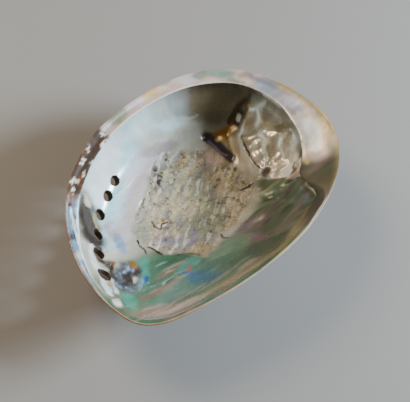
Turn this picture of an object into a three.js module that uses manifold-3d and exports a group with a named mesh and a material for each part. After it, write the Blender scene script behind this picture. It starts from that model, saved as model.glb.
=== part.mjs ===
// An abalone shell lying on its back, hollow upwards. Millimetres, +Z up.
//
// The shell is one piece. Each section runs in a vertical half-plane from the hub, the
// deepest point of the back, to a point of the rim: along the inner floor, up the inner
// wall, round the rim and back down the outside. On the columellar side the rim folds
// inwards as a flat shelf that overhangs the hollow; on the outer lip it is a plain edge.
// A low spire bulges from the back near the posterior end (+X), and a keel winds from it
// to the anterior left margin, pierced by a row of six respiratory holes.
import * as THREE from "three";
import { mergeVertices } from "three/addons/utils/BufferGeometryUtils.js";
import Module from "manifold-3d";

// --- driving dimensions ---------------------------------------------------------------
const RIM_HEIGHT = 45; // mean height of the rim above the surface the shell rests on
const RIM_WAVE = 2.5; // both sides of the rim stand this much higher, both ends lower
const REST_FLAT = 0.45; // depth worn off the back where it rests
const REST_RADIUS = 6.5; // half-width of the flat that this leaves

const HUB = new THREE.Vector2(13, 4.2); // deepest point of the back, under the centre of mass
const COIL = new THREE.Vector2(34, -9); // axis that the shell coils about as it grows
const COIL_RATE = 0.463; // growth of the coil's radius, per radian

const FLOOR_THICKNESS = 4.4;
const WALL_THICKNESS = 3.0;
const LIP_THICKNESS = 1.8;

const WALL_TOP = 0.87; // where the floor and the back hand over to the rim, as a share of the way
const BACK_TOP = 0.965;

const SPIRE = new THREE.Vector2(44, -15);
const SPIRE_RISE = 3.2; // how far the spire bulges out of the back
const SPIRE_SPREAD = 13;
const KEEL_RISE = 2.2;
const KEEL_SPREAD = 5;
const KEEL_RADIUS = 96.3; // the keel's distance from the coil's axis at KEEL_ANGLE
const KEEL_ANGLE = 160;
const INNER_BULGE = 0.85; // how much of the spire's and the keel's bulge shows inside
const RIM_CLEAR = 4; // the rim down to this depth has none of it

// The rim seen from above.
const RIM_PLAN = [
  [83, -6], [77, 22], [58, 44], [30, 57.5], [-5, 64], [-38, 57.5], [-62, 40], [-77, 16.5],
  [-83, -11], [-76, -28], [-53, -43], [-22, -56.6], [12, -64], [45, -61], [67, -49.5], [79, -33],
];

// The shelf by direction from the hub: [degrees, width, how far its edge sinks]. Past the spire
// its edge sinks and it dies out in the wall.
const SHELF = [
  [-76, 15, 5], [-66, 20, 8], [-58, 22.5, 8.5], [-50, 19.8, 4.5], [-38, 19, 1.5],
  [-26, 16, 0], [-13, 11.4, 0], [0, 9, 0], [10, 8, 0], [40, 7, 0], [80, 6.5, 0], [110, 8, 0],
  [130, 8.5, 0], [155, 7, 0], [185, 3, 0],
];
const SHELF_SINKS = 9; // about the most that the edge sinks
const UNDERCUT = 6; // how far the hollow reaches under the shelf's edge, where the wall allows
const SHELF_STEPS = [0.04, 0.016]; // height of the wall's last steps under it, flat and sunk
// Its underside: [share of the way from the edge to the wall, depth below the edge].
const SHELF_UNDERSIDE = [[0.7, 5.8], [0.25, 4.3], [0, 3.1]];
const SHELF_EDGE = [0.4, 2.2]; // the rounded edge: outwards, down
const SHELF_DISH = 1.6; // how far its middle lies below the rim
const SHELF_DISH_SHARE = 0.45; // and by what share of the edge's sinking
const SHELF_RIM = [[1.4, 0.3], [0.2, 0.7]]; // its outer border: inwards from the rim, down

const FILL_RUN = 15; // past the spire, the shelf's end is carried by a slope of this length
const FILL_DROP = 0.5; // the slope stops this far below the shelf's edge
const FILL_WHOLE = 0.45; // the slope is whole once the shelf is this much there

// The last stretch of the inner wall below the plain lip, as shares of the way.
const LIP_WALL = [0.905, 0.92, 0.935, 0.95, 0.963, 0.975];
const LIP_EDGE = [[1.5, 0.25], [0.8, 0], [0.1, 0.6]]; // inwards from the rim, down

// Spans of direction in degrees: a feature starts, is whole, starts to fade, is gone.
const STEEP_SPAN = [-80, -25, 135, 200]; // the columellar side, where the wall is steep
const SHELF_SPAN = [-78, -52, 152, 186];
const FILL_SPAN = [-90, -80, -57, -50];
const KEEL_SPAN = [10, 60, 165, 180]; // this one about the coil's axis, the others about the hub

// The back rises as a parabola and a steeper power of the way out: [outer lip, columellar side].
const PARABOLA_SHARE = [0.84, 0.42];
const STEEP_POWER = [3, 9];

// The holes, oldest first: [angle around the coil, diameter, height of the wall there].
const HOLES = [
  [125.5, 5.8, 14], [132.5, 6, 14], [140.5, 6.4, 16.5],
  [149, 7, 20], [156.5, 7.4, 23.5], [165, 8.6, 28.5],
];
const HOLE_LEAN = 0.8; // slope of the holes' axes, towards the hub
const CUTTER_LENGTH = 40; // long enough to pass through the wall and out of both sides

// --- how finely it is faceted ------------------------------------------------------------
const SECTIONS = 84;
const FLOOR_STEPS = 10;
const RIM_STEPS = 13;
const BACK_STEPS = 11;
const HOLE_SIDES = 16;
const EDGE_POINT = 4; // which of the rim's own points is the shelf's edge
const STEP_BUNCHING = 1.3; // above 1, steps are closer together towards the rim

// --- small helpers -------------------------------------------------------------------------
const { lerp, smoothstep, degToRad, radToDeg, euclideanModulo } = THREE.MathUtils;

// 1 from lowIn to highIn degrees, falling to 0 at lowOut and highOut.
function sector(degrees, lowOut, lowIn, highIn, highOut) {
  const middle = (lowIn + highIn) / 2;
  const away = euclideanModulo(degrees - middle + 180, 360) - 180;
  const rising = smoothstep(away, lowOut - middle, lowIn - middle);
  return rising * (1 - smoothstep(away, highIn - middle, highOut - middle));
}

// A column of the shelf's table in a direction, constant past both ends of the table.
function shelfAt(degrees, column) {
  const start = SHELF[0][0];
  const angle = euclideanModulo(degrees - start, 360) + start;
  const next = SHELF.findIndex((row) => row[0] >= angle);
  if (next < 1) return SHELF[SHELF.length - 1][column];
  const low = SHELF[next - 1];
  const high = SHELF[next];
  return lerp(low[column], high[column], (angle - low[0]) / (high[0] - low[0]));
}

// --- the back ---------------------------------------------------------------------------------
const rimCurve = new THREE.CatmullRomCurve3(
  RIM_PLAN.map(([x, y]) => new THREE.Vector3(x, y, 0)), true, "catmullrom", 0.5,
);

// What a section needs to know about its direction.
function sectionAt(share) {
  const rim = rimCurve.getPoint(share);
  const toRim = new THREE.Vector2(rim.x, rim.y).sub(HUB);
  const reach = toRim.length();
  const degrees = radToDeg(Math.atan2(toRim.y, toRim.x));
  const around = Math.atan2(rim.y, rim.x);
  const steep = sector(degrees, ...STEEP_SPAN);
  const shelf = sector(degrees, ...SHELF_SPAN);
  return {
    reach,
    direction: toRim.normalize(),
    rimHeight: RIM_HEIGHT - RIM_WAVE * Math.cos(2 * around),
    roundness: lerp(...PARABOLA_SHARE, steep),
    steepness: lerp(...STEEP_POWER, steep),
    shelf,
    fill: sector(degrees, ...FILL_SPAN) * smoothstep(shelf, 0, FILL_WHOLE),
    shelfWidth: shelfAt(degrees, 1),
    shelfSink: shelfAt(degrees, 2),
  };
}

// Height of the back at a share of the way from the hub to the rim.
function backHeight(section, share) {
  const { roundness, steepness, rimHeight } = section;
  const rise = roundness * share ** 2 + (1 - roundness) * share ** steepness;
  return Math.max(0, (rimHeight + REST_FLAT) * rise - REST_FLAT);
}

function backPoint(section, share) {
  return new THREE.Vector2(share * section.reach, backHeight(section, share));
}

// The inner face: the back moved inwards, square to itself.
function innerPoint(section, share, thickness) {
  const step = 0.01;
  const before = backPoint(section, Math.max(0, share - step));
  const tangent = backPoint(section, share + step).sub(before).normalize();
  const here = backPoint(section, share);
  return new THREE.Vector2(here.x - tangent.y * thickness, here.y + tangent.x * thickness);
}

// Where the floor hands over to the rim, as a share of the way: lower under a wide shelf.
function wallTop(section) {
  const underEdge = (section.reach - section.shelfWidth + UNDERCUT) / section.reach;
  return lerp(WALL_TOP, Math.min(WALL_TOP, underEdge), section.shelf);
}

// The plain outer lip, from the inner wall over its thin edge to the outside.
function lipOutline(section) {
  const { reach, rimHeight } = section;
  const wall = LIP_WALL.map((share) => innerPoint(section, share, LIP_THICKNESS));
  const edge = LIP_EDGE.map(([inwards, down]) => new THREE.Vector2(reach - inwards, rimHeight - down));
  return [...wall, ...edge];
}

// The shelf: the inner wall rises to its underside, which runs in to a rounded edge, and
// its top runs back out to the rim.
function shelfOutline(section) {
  const { reach, rimHeight, shelfWidth, shelfSink } = section;
  const edge = reach - shelfWidth;
  const edgeHeight = rimHeight - shelfSink;
  const top = wallTop(section);
  const step = lerp(...SHELF_STEPS, shelfSink / SHELF_SINKS);
  const wall = innerPoint(section, top + 2.2 * step, WALL_THICKNESS).x;
  const ledge = [
    ...SHELF_UNDERSIDE.map(([share, down]) => [lerp(edge, wall, share), edgeHeight - down]),
    [edge + SHELF_EDGE[0], edgeHeight - SHELF_EDGE[1]],
    [reach - shelfWidth / 2, rimHeight - SHELF_DISH - shelfSink * SHELF_DISH_SHARE],
    ...SHELF_RIM.map(([inwards, down]) => [reach - inwards, rimHeight - down]),
  ].map(([r, z]) => new THREE.Vector2(r, z));
  return [
    innerPoint(section, top + step, WALL_THICKNESS),
    innerPoint(section, top + 1.9 * step, WALL_THICKNESS),
    ...ledge,
  ];
}

// Where the shelf's end is carried by a slope, moves a point under it onto the slope.
function filled(section, point, edge) {
  const ramp = smoothstep(point.x, edge.x - FILL_RUN, edge.x) * section.fill;
  const lift = ramp * Math.max(0, edge.y - FILL_DROP - point.y);
  const inwards = section.fill * Math.max(0, point.x - edge.x);
  return new THREE.Vector2(point.x - inwards, point.y + lift);
}

// One whole section, from the hub inside to the hub outside, as [distance from hub, height].
function sectionOutline(section) {
  const floor = [];
  const topThickness = lerp(LIP_THICKNESS, WALL_THICKNESS, section.shelf);
  for (let i = 0; i <= FLOOR_STEPS; i++) {
    const along = 1 - (1 - i / FLOOR_STEPS) ** STEP_BUNCHING;
    const thickness = lerp(FLOOR_THICKNESS, topThickness, along);
    floor.push(innerPoint(section, wallTop(section) * along, thickness));
  }
  floor[0].x = 0;
  const shelf = shelfOutline(section);
  const rim = lipOutline(section).map((point, i) => point.lerp(shelf[i], section.shelf));
  const overRim = new THREE.SplineCurve([
    floor[FLOOR_STEPS], ...rim, backPoint(section, BACK_TOP),
  ]).getPoints(RIM_STEPS);
  const back = [];
  for (let i = 1; i <= BACK_STEPS; i++) {
    const along = (i / BACK_STEPS) ** STEP_BUNCHING;
    back.push(backPoint(section, lerp(BACK_TOP, REST_RADIUS / section.reach, along)));
  }
  const inside = [...floor, ...overRim.slice(1)].map((point, i) => (
    i < FLOOR_STEPS + RIM_STEPS / 2 ? filled(section, point, rim[EDGE_POINT]) : point
  ));
  return [...inside, ...back, new THREE.Vector2(0, 0)];
}

// --- spire and keel ---------------------------------------------------------------------------
function keelRadius(angle) {
  return KEEL_RADIUS * Math.exp(COIL_RATE * (angle - degToRad(KEEL_ANGLE)));
}

// How far the wall bulges downwards at a place, seen from above.
function bulge(x, y) {
  const place = new THREE.Vector2(x, y);
  const spire = SPIRE_RISE * Math.exp(-((place.distanceTo(SPIRE) / SPIRE_SPREAD) ** 2));
  const fromCoil = place.sub(COIL);
  const angle = Math.atan2(fromCoil.y, fromCoil.x);
  const fromKeel = fromCoil.length() - keelRadius(angle < -Math.PI / 2 ? angle + 2 * Math.PI : angle);
  const along = sector(radToDeg(angle), ...KEEL_SPAN);
  return spire + KEEL_RISE * along * Math.exp(-((fromKeel / KEEL_SPREAD) ** 2));
}

// --- the solid ----------------------------------------------------------------------------------
function shellGeometry() {
  const rings = FLOOR_STEPS + RIM_STEPS + BACK_STEPS + 2;
  const positions = [];
  for (let s = 0; s < SECTIONS; s++) {
    const section = sectionAt(s / SECTIONS);
    sectionOutline(section).forEach(({ x: r, y: z }, ring) => {
      const x = HUB.x + section.direction.x * r;
      const y = HUB.y + section.direction.y * r;
      const below = z > section.rimHeight - RIM_CLEAR ? 0 : bulge(x, y);
      const inside = ring <= FLOOR_STEPS;
      positions.push(x, y, inside ? z - INNER_BULGE * below : Math.max(0, z - below));
    });
  }
  const index = [];
  for (let s = 0; s < SECTIONS; s++) {
    const here = s * rings;
    const next = ((s + 1) % SECTIONS) * rings;
    for (let k = 0; k < rings - 1; k++) {
      index.push(here + k, here + k + 1, next + k + 1);
      index.push(here + k, next + k + 1, next + k);
    }
  }
  const geometry = new THREE.BufferGeometry();
  geometry.setAttribute("position", new THREE.Float32BufferAttribute(positions, 3));
  geometry.setIndex(index);
  return geometry;
}

// A manifold-3d solid of a closed geometry.
function solidOf(geometry) {
  const bare = geometry.clone();
  bare.deleteAttribute("normal");
  bare.deleteAttribute("uv");
  const merged = mergeVertices(bare, 1e-4);
  return new wasm.Manifold(new wasm.Mesh({
    numProp: 3,
    vertProperties: new Float32Array(merged.attributes.position.array),
    triVerts: new Uint32Array(merged.index.array),
  }));
}

// A geometry of a manifold-3d solid.
function geometryOf(solid) {
  const mesh = solid.getMesh();
  const geometry = new THREE.BufferGeometry();
  geometry.setAttribute("position", new THREE.BufferAttribute(mesh.vertProperties, 3));
  geometry.setIndex(new THREE.BufferAttribute(mesh.triVerts, 1));
  geometry.computeVertexNormals();
  return geometry;
}

// A rod that cuts one respiratory hole, leaning towards the mouth of the shell.
function holeCutter([degrees, diameter, height]) {
  const angle = degToRad(degrees);
  const radius = keelRadius(angle);
  const place = new THREE.Vector2(Math.cos(angle), Math.sin(angle)).multiplyScalar(radius).add(COIL);
  const outwards = place.clone().sub(HUB).normalize();
  const lean = new THREE.Vector3(-outwards.x * HOLE_LEAN, -outwards.y * HOLE_LEAN, 1).normalize();
  const rod = new THREE.CylinderGeometry(diameter / 2, diameter / 2, CUTTER_LENGTH, HOLE_SIDES);
  rod.applyQuaternion(new THREE.Quaternion().setFromUnitVectors(new THREE.Vector3(0, 1, 0), lean));
  rod.translate(place.x, place.y, height);
  return solidOf(rod);
}

const wasm = await Module();
wasm.setup();

const whole = solidOf(shellGeometry());
const pierced = HOLES.reduce((solid, hole) => solid.subtract(holeCutter(hole)), whole);

const nacre = new THREE.MeshStandardMaterial({ color: 0xb9bfb0, roughness: 0.28, metalness: 0.35 });

const shell = new THREE.Mesh(geometryOf(pierced), nacre);
shell.name = "shell";

const abaloneShell = new THREE.Group();
abaloneShell.add(shell);

export default abaloneShell;
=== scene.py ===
# An abalone shell lying on its back, hollow upwards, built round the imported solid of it.
# Lengths in this file are millimetres until a mesh is made, which is in metres.
import math

import bpy
import numpy as np
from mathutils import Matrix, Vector


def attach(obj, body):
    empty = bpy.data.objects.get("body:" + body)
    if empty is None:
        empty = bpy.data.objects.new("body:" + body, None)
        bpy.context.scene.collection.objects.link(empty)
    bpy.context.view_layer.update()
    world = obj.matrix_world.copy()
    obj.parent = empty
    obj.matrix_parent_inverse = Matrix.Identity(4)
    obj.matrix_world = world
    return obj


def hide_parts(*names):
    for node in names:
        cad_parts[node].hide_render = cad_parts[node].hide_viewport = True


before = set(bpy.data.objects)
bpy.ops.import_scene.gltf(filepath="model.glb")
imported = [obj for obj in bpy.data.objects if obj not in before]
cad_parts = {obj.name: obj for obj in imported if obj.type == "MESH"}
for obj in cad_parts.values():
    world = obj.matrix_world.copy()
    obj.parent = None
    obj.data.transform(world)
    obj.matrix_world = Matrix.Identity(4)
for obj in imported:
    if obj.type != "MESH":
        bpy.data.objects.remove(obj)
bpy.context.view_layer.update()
MM = 0.001

# --- the shell's own dimensions, the same as the solid's ---
RIM_HEIGHT = 45.0
RIM_WAVE = 2.5
REST_FLAT = 0.45
REST_RADIUS = 6.5
HUB = np.array([13.0, 4.2])  # deepest point of the back
COIL = np.array([34.0, -9.0])  # axis that the shell coils about
COIL_RATE = 0.463
FLOOR_THICKNESS = 4.4
WALL_THICKNESS = 3.0
LIP_THICKNESS = 1.8
WALL_TOP = 0.87
BACK_TOP = 0.965
SPIRE = np.array([44.0, -15.0])
SPIRE_RISE = 3.2
SPIRE_SPREAD = 13.0
KEEL_RISE = 2.2
KEEL_SPREAD = 5.0
KEEL_RADIUS = 96.3
KEEL_ANGLE = 160.0
INNER_BULGE = 0.85
RIM_CLEAR = 4.0
RIM_PLAN = np.array([
    (83, -6), (77, 22), (58, 44), (30, 57.5), (-5, 64), (-38, 57.5), (-62, 40), (-77, 16.5),
    (-83, -11), (-76, -28), (-53, -43), (-22, -56.6), (12, -64), (45, -61), (67, -49.5), (79, -33),
], dtype=float)
SHELF = np.array([  # direction in degrees, width, how far the edge sinks
    (-76, 15, 5), (-66, 20, 8), (-58, 22.5, 8.5), (-50, 19.8, 4.5), (-38, 19, 1.5),
    (-26, 16, 0), (-13, 11.4, 0), (0, 9, 0), (10, 8, 0), (40, 7, 0), (80, 6.5, 0), (110, 8, 0),
    (130, 8.5, 0), (155, 7, 0), (185, 3, 0),
], dtype=float)
SHELF_SINKS = 9.0
UNDERCUT = 6.0
SHELF_STEPS = (0.04, 0.016)  # height of the wall's last steps under it, flat and sunk
SHELF_UNDERSIDE = ((0.7, 5.8), (0.25, 4.3), (0.0, 3.1))  # share of the way to the wall, depth
SHELF_EDGE = (0.4, 2.2)  # its rounded edge: outwards, down
SHELF_DISH = 1.6  # how far its middle lies below the rim
SHELF_DISH_SHARE = 0.45  # and by what share of the edge's sinking
SHELF_RIM = ((1.4, 0.3), (0.2, 0.7))  # its outer border: inwards from the rim, down
FILL_RUN = 15.0  # past the spire, the shelf's end is carried by a slope of this length
FILL_DROP = 0.5  # the slope stops this far below the shelf's edge
FILL_WHOLE = 0.45  # the slope is whole once the shelf is this much there
EDGE_POINT = 4  # which of the rim's own points is the shelf's edge
UNDER_EDGE = 0.47  # the share of the way over the rim that lies under the shelf
LIP_WALL = (0.905, 0.92, 0.935, 0.95, 0.963, 0.975)
LIP_EDGE = ((1.5, 0.25), (0.8, 0.0), (0.1, 0.6))  # inwards from the rim, down
# Spans of direction in degrees: a feature starts, is whole, starts to fade, is gone.
STEEP_SPAN = (-80, -25, 135, 200)
SHELF_SPAN = (-78, -52, 152, 186)
FILL_SPAN = (-90, -80, -57, -50)
KEEL_SPAN = (10, 60, 165, 180)  # this one about the coil's axis, the others about the hub
# The back rises as a parabola and a steeper power of the way out: (outer lip, columellar side).
PARABOLA_SHARE = (0.84, 0.42)
STEEP_POWER = (3.0, 9.0)
HOLES = [  # angle round the coil, diameter, height of the wall there
    (125.5, 5.8, 14), (132.5, 6, 14), (140.5, 6.4, 16.5),
    (149, 7, 20), (156.5, 7.4, 23.5), (165, 8.6, 28.5),
]
HOLE_LEAN = 0.8
CUTTER_LENGTH = 40.0

# --- how fine the surface is ---
SECTIONS = 400
BACK_BUNCHING = 1.15  # above 1, the back's rows are closer together towards the rim
OVER_BACK = 1.2  # what stands for the way over the rim on all rows of the back
FLOOR_ROWS = 108
BACK_ROWS = 60
# Rows over the rim, closest together on top of the shelf.
RIM_STOPS = np.concatenate([
    np.linspace(0, 0.5, 19)[1:], np.linspace(0.5, 0.62, 8)[1:],
    np.linspace(0.62, 0.8, 23)[1:], np.linspace(0.8, 1, 14)[1:],
])

# --- colours ---
PALETTE = {
    "sky-blue painted reflection": "c4f2ff", "ice": "eef8fc", "lavender": "cbc8d0", "grey pearl": "c0beb2",
    "dark brown and painted shade": "4a4238", "olive grey": "857b64", "beige": "b0a68f", "cream": "d4caae",
    "ochre": "b0935a", "sage": "818d79", "pink pearl": "d6c0b4", "scar grey": "8f9196",
    "lilac": "8f829c", "black": "15120f", "amber": "94661c", "gold": "cdae66",
    "silver": "f3ecda", "green silver": "c3cdb8", "plum": "3b303a", "olive": "4f5a45",
    "deep green": "3a5444", "mauve": "776468", "sea green": "47705a", "teal": "4f9a8a",
    "blue": "2d5f9a", "blue teal": "1f6080", "light blue": "7fa6c8", "rose": "a8505a",
    "rose tan": "8f786c", "magenta": "7f5f6d", "tan": "b8a27c", "bright": "fff8e6",
    "white": "f0eee6", "bark": "33241b", "rust": "8a4f22", "navy": "1d1c1f",
    "slate": "3f444c", "leaf": "7c9272", "painted hole shade": "4d453d", "dark olive": "3a3f2e",
    "dull gold": "9a8c66", "outside brown": "5a4636", "outside grey": "7a7468",
    "outside rose": "7c5a4c",
}
PIT_BLACK = (0.02, 0.016, 0.012, 1)
RIB_BROWN = (0.2, 0.13, 0.09, 1)
HUE_SHIFT = 0.07
STREAK_TURN = 0.34  # radians
STREAK_SCALE = (0.16, 1, 0.6)
RIBS_AROUND = 50
LINE_SLANT = 2.2
LINES_AROUND = 60.0
COAT_ROUGHNESS = 0.2
BUMP_DEPTH = 0.7
BUMP_STRENGTH = 0.9

# Patches in the hollow: colour, centre, half-length, half-width, turn in degrees, strength.
HOLLOW_PATCHES = [
    # The pale blue and near-white patches on the upper and left wall are a painted reflection of
    # the cool light.
    ("sky-blue painted reflection", (20, 52), 46, 14, -8, 1.0), ("sky-blue painted reflection", (-14, 48), 22, 10, 30, 1.0),
    ("ice", (-8, 54), 22, 6, 15, 0.9), ("ice", (28, 52), 18, 4, -15, 0.5),
    ("lavender", (-8, 36), 34, 7, 22, 0.8), ("lavender", (-36, 30), 14, 9, 40, 0.6),
    ("grey pearl", (34, 36), 24, 7, -38, 0.9), ("sky-blue painted reflection", (-42, 32), 9, 5, 50, 0.6),
    ("light blue", (-37, 25), 7, 3, 60, 0.7), ("pink pearl", (-14, 33), 12, 4, 25, 0.4),
    # The two dark brown patches on this line lie under the shelf's edge and are painted shade.
    ("dark brown and painted shade", (68, 24), 24, 7, -55, 0.8), ("dark brown and painted shade", (58, 39), 13, 5, -38, 0.8),
    ("grey pearl", (42, 47), 13, 6, -28, 0.6),
    ("olive grey", (60, 26), 18, 6, -55, 0.9), ("grey pearl", (44, 28), 14, 6, -50, 0.7),
    ("olive grey", (53, 22), 8, 5, -50, 0.6), ("lavender", (12, 42), 22, 5, -10, 0.7),
    ("rose tan", (24, 41), 12, 3, -30, 0.5), ("pink pearl", (4, 38), 12, 3, 10, 0.6),
    ("scar grey", (48, 43), 8, 6, -40, 0.5),
]
RIGHT_PATCHES = [
    ("olive", (34, -42), 34, 13, -12, 1.0), ("deep green", (38, -38), 20, 3, -16, 0.8),
    ("mauve", (30, -34), 22, 2.4, -16, 0.5), ("mauve", (10, -30), 14, 4, -25, 0.6),
    ("deep green", (20, -28), 14, 2.5, -14, 0.8), ("leaf", (34, -29), 14, 1.6, -14, 0.6),
    ("olive grey", (52, -50), 16, 5, 25, 0.6), ("olive grey", (46, -44), 12, 4, 15, 0.5),
    ("deep green", (0, -46), 15, 7, -33, 1.0), ("magenta", (2, -34), 10, 4, -70, 0.9),
    ("magenta", (10, -26), 7, 3, -20, 0.6), ("dull gold", (8, -58), 18, 3, 0, 0.8),
    ("mauve", (22, -48), 18, 3, -10, 0.5), ("leaf", (-6, -28), 12, 6, -30, 0.9),
]
LOWER_PATCHES = [
    ("sea green", (-40, -14), 42, 24, -34, 0.9), ("rose tan", (-66, -24), 18, 7, -42, 0.9),
    ("rose tan", (-48, -12), 12, 2.5, -20, 0.7), ("rose tan", (-36, -8), 12, 2, -22, 0.6),
    ("rose tan", (-57, -10), 12, 2.5, -24, 0.6), ("teal", (-46, 4), 12, 4, 35, 0.8),
    ("teal", (-70, -4), 8, 4, 60, 0.8), ("teal", (-27, -13), 9, 3, -15, 0.7),
    ("blue", (-51, -1), 4, 1.6, 10, 0.9), ("sea green", (-22, -30), 13, 8, -30, 1.0),
    ("deep green", (-20, -34), 10, 3, -30, 0.5),
    ("blue teal", (-31, -27), 11, 7, -50, 1.0), ("teal", (-30, -26), 5, 3, -50, 0.7),
    ("blue", (-32, -19), 7, 1.6, -75, 0.9), ("rose", (-29, -15), 2.4, 1.2, 10, 0.9),
    ("sea green", (-52, -20), 13, 5, -30, 1.0), ("deep green", (-54, -22), 9, 2, -30, 0.5),
    ("dull gold", (-34, -44), 20, 4, -27, 0.7),
    ("pink pearl", (-58, -30), 16, 3, -32, 0.6), ("white", (-77, -1), 4, 2.5, 50, 1.0),
    ("light blue", (-70, 9), 4, 3, 40, 0.8), ("lavender", (-66, 11), 5, 2.5, 30, 0.8),
    ("leaf", (-12, -24), 9, 4, -25, 0.8), ("dull gold", (-14, -54), 12, 2, -25, 0.8),
    ("deep green", (-5, -50), 10, 5, -20, 1.0),
]
SCAR_PATCHES = [
    ("cream", (18, 22), 18, 9, 35, 0.7), ("ochre", (29, 29), 7, 4, 20, 0.8),
    ("ochre", (25, 21), 5, 2.5, 60, 0.5), ("pink pearl", (36, 18), 8, 5, -60, 0.5),
    ("scar grey", (9, 28), 5, 2.5, 70, 0.9), ("sage", (6, -4), 18, 9, -10, 0.8),
    ("sage", (20, 8), 9, 5, 20, 0.6), ("cream", (36, -2), 8, 6, -70, 0.6),
    ("pink pearl", (-20, 10), 9, 5, 10, 0.7), ("lilac", (-18, 5), 7, 2.5, -50, 1.0),
    ("lilac", (-10, -4), 8, 3, 10, 0.9), ("scar grey", (-4, -14), 10, 5, -20, 0.8),
    ("sage", (-20, 22), 9, 4, 40, 0.5), ("ochre", (-14, -12), 7, 3, -30, 0.5),
    ("cream", (0, 12), 9, 5, 30, 0.5), ("cream", (26, -12), 10, 4, -10, 0.5),
    ("amber", (-9, 15), 2.4, 1.4, 60, 1.0),
]
SPIRE_PATCHES = [
    ("green silver", (64, -12), 12, 8, -60, 0.6), ("gold", (67, 6), 10, 4, -70, 0.8),
    ("gold", (70, -12), 10, 2.5, -80, 0.8), ("gold", (56, 2), 6, 2, 60, 0.5),
    # The two ice patches here are painted highlights.
    ("ice", (63, 1), 6, 3, 20, 0.7),
    ("ice", (53, -12), 7, 3, 60, 0.7), ("rose tan", (72, -4), 6, 2, -80, 0.5),
    ("olive grey", (71, 2), 7, 2.5, -80, 0.7), ("olive", (58, -26), 8, 3, 10, 0.6),
]
CAVE_WALL_PATCHES = [
    ("silver", (50, 1), 12, 5.5, 62, 0.9), ("cream", (54, 8), 6, 4, 60, 0.7),
    ("gold", (48, 4), 6, 2.5, 60, 0.5),
]
# Patches on top of the shelf and the rim.
SHELF_PATCHES = [
    ("pink pearl", (20, 60), 60, 12, -12, 0.8), ("lavender", (0, 62), 8, 5, 0, 0.8),
    ("sage", (14, 61), 7, 5, -20, 0.8), ("lavender", (26, 58), 7, 4, -20, 0.7),
    ("gold", (36, 54), 6, 3, -30, 0.6), ("sage", (45, 52), 7, 3, -35, 0.6),
    ("lavender", (58, 42), 8, 4, -45, 0.8), ("teal", (69, 30), 10, 3, -60, 0.6),
    ("leaf", (62, 38), 5, 2, -50, 0.7), ("pink pearl", (75, 18), 5, 3, -70, 0.7),
    ("light blue", (77, 2), 9, 5, -90, 0.6), ("scar grey", (75, -10), 12, 6, -80, 0.7),
    ("lavender", (76, -16), 8, 5, -80, 0.7), ("gold", (82, -6), 9, 1.6, -88, 0.7),
    ("green silver", (69, -24), 6, 4, -70, 0.7), ("gold", (79, -26), 10, 2.5, -105, 0.6),
    ("olive grey", (76, -36), 16, 4, -112, 0.8), ("gold", (79, -32), 12, 2, -108, 0.7),
    ("olive grey", (68, -43), 14, 5, -145, 0.9), ("olive", (58, -48), 9, 6, -150, 0.9),
    ("gold", (55, -36), 3, 1.6, 20, 0.9),
    ("lilac", (75, -22), 7, 3, -60, 0.5),
]

# Clouds: colour, size, seed, where the noise starts to show and is whole, strength.
SHELF_CLOUDS = [("sage", 7, 301, (0.05, 0.4), 0.8), ("lilac", 6, 311, (0.1, 0.5), 0.6)]
TROUGH_CLOUDS = [("white", 6, 351, (0.1, 0.4), 0.7), ("navy", 5, 361, (0.25, 0.45), 0.8)]
OUTSIDE_CLOUDS = [
    ("outside grey", 14, 371, (-0.1, 0.5), 0.8), ("outside rose", 20, 381, (0.0, 0.5), 0.7),
    ("cream", 7, 391, (0.32, 0.5), 0.6), ("bark", 9, 395, (0.25, 0.6), 0.6),
]

# Lines: colour, width, strength, points.
HOLLOW_LINES = [
    # The first white line is a painted highlight along the keel's ridge.
    ("white", 1.0, 0.35, [(22, 51), (37, 45), (54, 32)]),
    ("olive grey", 1.5, 0.6, [(54, 32), (62, 23), (67, 15)]),
    ("navy", 12, 1.0, [(-35, 50), (-39, 46), (-43, 41), (-47, 36)]),
    ("ochre", 1.6, 0.9, [(-33, 46), (-36, 43), (-39, 40)]),
    ("cream", 3, 0.9, [(-31, 51), (-33, 50)]),
    ("ice", 3, 0.8, [(-52, 33), (-58, 27), (-64, 20), (-69, 13), (-74, 6)]),
    ("white", 2.4, 0.8, [(-60, 15), (-66, 9), (-70, 5)]),
    ("bark", 3.5, 1.0, [(-50, 30), (-55, 25), (-56, 19), (-60, 13)]),
    ("rust", 1.6, 0.8, [(-47, 12), (-46, 9), (-49, 6)]),
    ("amber", 2.6, 0.9, [(70, 11), (66, 11)]),
    ("amber", 6, 0.9, [(62, 13), (56, 15), (50, 18)]),
    ("gold", 2, 0.8, [(60, 12), (55, 13), (51, 15)]),
    ("amber", 1.8, 0.8, [(54, 14), (51, 11), (47, 7)]),
    ("bark", 2.4, 0.9, [(61, 17), (67, 16), (72, 12)]),
    ("plum", 5.5, 1.0, [(47, 23), (46, 18), (46, 12), (45, 5)]),
    ("lilac", 1.4, 0.9, [(45, 21), (44, 15), (45, 9)]),
    ("gold", 1.5, 0.6, [(48, 18), (52, 12), (49, 8)]),
    # The black line below is painted shade in the groove that runs down to the eye.
    ("black", 1.0, 0.9, [(58, 7), (53, 0), (49, -8), (47, -14)]),
    ("cream", 1.2, 0.7, [(56, 8), (50, 0), (46, -9)]),
    ("black", 0.9, 1.0, [(-13, 21), (-15, 17), (-14, 13), (-11, 15), (-8, 13)]),
    ("black", 1.6, 1.0, [(32, -11), (35, -13), (38, -14)]),
    ("black", 1.0, 1.0, [(-28, 20), (-31, 16), (-34, 11)]),
    ("black", 1.8, 1.0, [(-29, 12), (-28, 8), (-28, 4)]),
    ("black", 1.0, 0.9, [(0, -17), (-2, -20), (-1, -22)]),
    ("black", 0.8, 0.9, [(-24, -4), (-20, -9), (-18, -14)]),
]
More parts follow.
